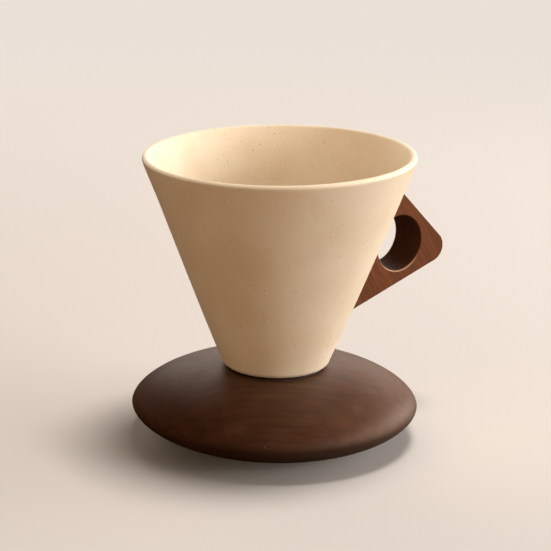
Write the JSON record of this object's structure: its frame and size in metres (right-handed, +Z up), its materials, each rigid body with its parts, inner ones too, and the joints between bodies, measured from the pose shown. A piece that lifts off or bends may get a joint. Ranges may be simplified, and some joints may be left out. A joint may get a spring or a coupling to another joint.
{
  "type": "pour over dripper",
  "caption": "Conical ceramic coffee dripper with a flat triangular wooden handle and a round finger hole, lifting out of a turned wooden base disc.",
  "frame": {"origin": "on the dripper's vertical axis, in the plane of the base disc's flat foot", "axes": "+Z up along the dripper's axis, +X towards the handle, which stands in the XZ plane"},
  "size_m": [0.1418, 0.1176, 0.1185],
  "materials": {
    "stoneware": "matt cream glaze with fine brown speckles",
    "handle_walnut": "reddish walnut, thinly oiled, straight grain",
    "base_walnut": "dark walnut, satin oil, turned smooth",
    "beech": "raw fluted beech",
    "silicone": "dark brown food-grade silicone, matt"
  },
  "bodies": {
    "base": {"base_disc": "base_walnut"},
    "seat": {"seat_ring": "silicone"},
    "dripper": {"dripper_cone": "stoneware", "handle_block": "handle_walnut", "handle_dowel_upper": "beech", "handle_dowel_lower": "beech"}
  },
  "joints": [
    {"name": "cone_turn", "type": "hinge", "parent": "base", "child": "seat", "pos_m": [0, 0, 0.0298], "axis": [0, 0, 1], "continuous": true},
    {"name": "cone_lift", "type": "slide", "parent": "seat", "child": "dripper", "axis": [0, 0, 1], "range_m": [0, 0.045]}
  ]
}
